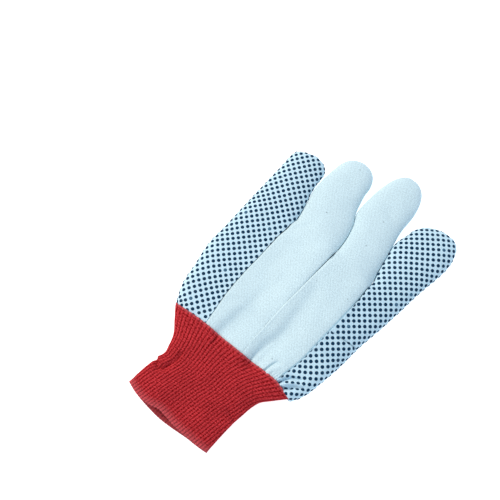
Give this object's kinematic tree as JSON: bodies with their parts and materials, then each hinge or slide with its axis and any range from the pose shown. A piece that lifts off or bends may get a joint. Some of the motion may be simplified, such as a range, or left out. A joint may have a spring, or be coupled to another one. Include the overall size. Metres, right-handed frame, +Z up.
{
  "type": "dotted canvas work glove",
  "caption": "Left hand work glove of dotted cotton canvas with plain back strips and a rib knit cuff, lying on its palm with the thumb folded under.",
  "frame": {"origin": "on the surface the glove lies on, below the middle of its box", "axes": "+Y from the cuff to the fingertips, +X towards the index finger's side, +Z up out of the back of the hand"},
  "size_m": [0.1453, 0.2611, 0.0183],
  "materials": {
    "dotted_canvas": "matt bluish white cotton canvas with small raised dark blue grip dots",
    "plain_canvas": "matt bluish white cotton canvas with a fine twill",
    "rib_knit": "soft red rib knit"
  },
  "bodies": {
    "root": {"palm_panel": "dotted_canvas", "thumb_panel": "dotted_canvas", "ring_back_strip": "plain_canvas", "middle_back_strip": "plain_canvas", "knit_cuff": "rib_knit"}
  },
  "joints": []
}
